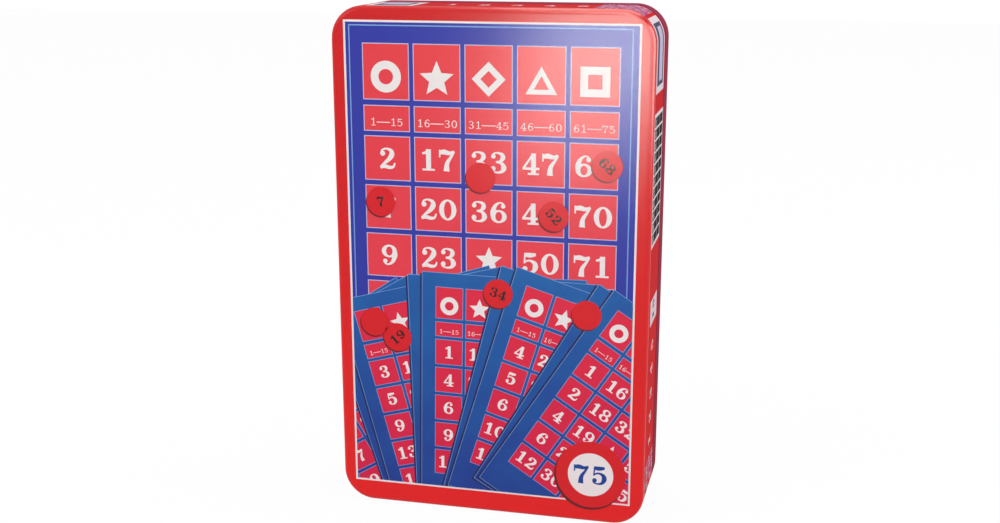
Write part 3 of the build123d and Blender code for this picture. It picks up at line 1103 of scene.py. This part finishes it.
# Rules leaflet: one sheet of uncoated white paper, folded once and laid on the board. It shows
# small diagrams of the winning lines and no words.
LEAFLET_TONES = (
    (0.80, 0.79, 0.75, 1.0),
    (0.88, 0.87, 0.84, 1.0),
    (0.74, 0.73, 0.69, 1.0),
    (0.84, 0.83, 0.79, 1.0),
)
TITLE_BAR = (-46.0, 56.0, 48.0, 66.0)
TITLE_LEFT, TITLE_PITCH, TITLE_Y, TITLE_SIZE = -36.0, 18.5, 61.0, 7.0
DIAGRAM_LEFT, DIAGRAM_TOP = -40.0, 46.0
DIAGRAM_PITCHES = (44.0, 38.0)
CELL_PITCH = 6.4
CELL = 5.8
WINNING_LINES = (
    [(k, 2) for k in range(5)],
    [(2, k) for k in range(5)],
    [(k, k) for k in range(5)],
    [(0, 0), (0, 4), (4, 0), (4, 4)],
    [(k, 4 - k) for k in range(5)],
    [(k, 0) for k in range(5)] + [(k, 4) for k in range(5)],
)
diagrams = [box_patch(*TITLE_BAR, 0, PAPER_SALMON)]
for column in range(CARD_COLUMNS):
    x = TITLE_LEFT + TITLE_PITCH * column
    diagrams += sign_patches(column, x, TITLE_Y, TITLE_SIZE, 1, PAPER_WHITE)
for rank, marked in enumerate(WINNING_LINES):
    left = DIAGRAM_LEFT + DIAGRAM_PITCHES[0] * (rank % 2)
    upper = DIAGRAM_TOP - DIAGRAM_PITCHES[1] * (rank // 2)
    for column in range(CARD_COLUMNS):
        for row in range(CARD_ROWS):
            x, y = left + CELL_PITCH * column, upper - CELL_PITCH * row
            ink = PAPER_SALMON if (column, row) in marked else PAPER_LINE
            diagrams.append(box_patch(x, y - CELL, x + CELL, y, 0, ink))
dress("rules_leaflet", board_paper("leaflet_paper", *LEAFLET_TONES))
front_print("rules_leaflet_print", diagrams, "rules_leaflet", "leaflet")


# Studio: a pale floor in white surroundings, three plain fills and six softboxes. Five of these
# show in reflections on the lid's lacquer alone and draw the pale wash on its upper right.
def seen_directly(tree):
    """1 for the rays that come from the camera, a mirror or glass, and 0 for all others."""
    path = add_node(tree, "LightPath", {})
    mirrored = maths(tree, "MAXIMUM", path["Is Glossy Ray"], path["Is Transmission Ray"])
    return maths(tree, "MAXIMUM", path["Is Camera Ray"], mirrored)


FLOOR_SIZE = 6.0
floor_material, tree, shader, place = new_material("studio_floor")
cloud = noise(tree, place["Object"], scale=3.0)
tone = between(tree, cloud, (0.50, 0.50, 0.50, 1.0), (0.54, 0.54, 0.54, 1.0))
feed(tree, shader, {"Base Color": tone, "Roughness": 0.9, "Specular IOR Level": 0.1})
glow = add_node(tree, "Emission", {"Strength": 1.06})["Emission"]
share = maths(tree, "MULTIPLY", seen_directly(tree), 0.9)
blend = add_node(tree, "MixShader", {"Fac": share, 1: shader.outputs["BSDF"], 2: glow})
feed(tree, tree.nodes["Material Output"], {"Surface": blend["Shader"]})
bpy.ops.mesh.primitive_plane_add(size=FLOOR_SIZE, location=(0, 0, 0))
floor = bpy.context.object
floor.name = "studio_floor"
floor.data.materials.append(floor_material)

world = bpy.data.worlds.new("studio")
bpy.context.scene.world = world
world.use_nodes = True
tree = world.node_tree
sky = between(tree, seen_directly(tree), (0.54, 0.54, 0.54, 1.0), (1.0, 1.0, 1.0, 1.0))
feed(tree, tree.nodes["Background"], {"Color": sky})


def softbox(name, centre, target, width, height, watts, tint=(1.0, 1.0, 1.0)):
    """An area light at a point, turned to face another point."""
    light = bpy.data.lights.new(name, "AREA")
    light.shape = "RECTANGLE"
    light.size = width
    light.size_y = height
    light.energy = watts
    light.color = tint
    lamp = bpy.data.objects.new(name, light)
    lamp.location = centre
    way = Vector(target) - Vector(centre)
    lamp.rotation_euler = way.to_track_quat("-Z", "Y").to_euler()
    bpy.context.scene.collection.objects.link(lamp)
    return lamp


WARM = (1.0, 0.985, 0.91)
UPPER_LID = (0.05, -0.02, 0.18)
TIN_MIDDLE = (0, 0, 0.1)
softbox("front_softbox", (-0.045, -0.75, 0.165), (0.05, -0.02, 0.15), 0.16, 0.19, 1.03, WARM)
lacquer_alone = bpy.data.collections.new("lacquer_alone")
for piece in (lid_shell, lid_picture, lid_chips):
    lacquer_alone.objects.link(piece)
for name, centre, target, width, height, watts in (
    ("low_softbox", (-0.095, -0.75, 0.06), (0.04, -0.02, 0.11), 0.12, 0.17, 0.66),
    ("fold_softbox", (0.307, -0.706, 0.385), UPPER_LID, 0.8, 0.75, 18.0),
    ("side_fold_softbox", (0.94, -0.18, 0.375), UPPER_LID, 0.98, 0.75, 31.5),
    ("top_fold_softbox", (0.0, -0.6, 0.62), (0.04, -0.02, 0.19), 0.24, 0.55, 4.2),
    ("crown_softbox", (0.13, 0.0, 0.89), (0.13, 0.0, 0.19), 0.6, 1.0, 15.0),
):
    lamp = softbox(name, centre, target, width, height, watts, WARM)
    lamp.visible_diffuse = False
    lamp.light_linking.receiver_collection = lacquer_alone
softbox("left_fill", (-1.1, -0.9, 0.9), TIN_MIDDLE, 0.9, 0.9, 4.4)
softbox("right_fill", (1.2, 0.1, 0.5), TIN_MIDDLE, 1.1, 1.1, 4.6)
softbox("top_light", (0.1, 0.2, 1.4), TIN_MIDDLE, 1.6, 1.6, 3.8)

# Camera: a pinhole camera whose place, direction and lens were fitted to the outline of the tin
# in the photograph
camera_data = bpy.data.cameras.new("camera")
camera_data.lens = 46.48
camera_data.sensor_width = 36.0
camera = bpy.data.objects.new("camera", camera_data)
camera.location = (0.1102, -0.4641, 0.2156)
camera.rotation_euler = Vector((-0.2250, 0.9428, -0.2458)).to_track_quat("-Z", "Y").to_euler()
bpy.context.scene.collection.objects.link(camera)
bpy.context.scene.camera = camera
bpy.context.scene.view_settings.view_transform = "Standard"
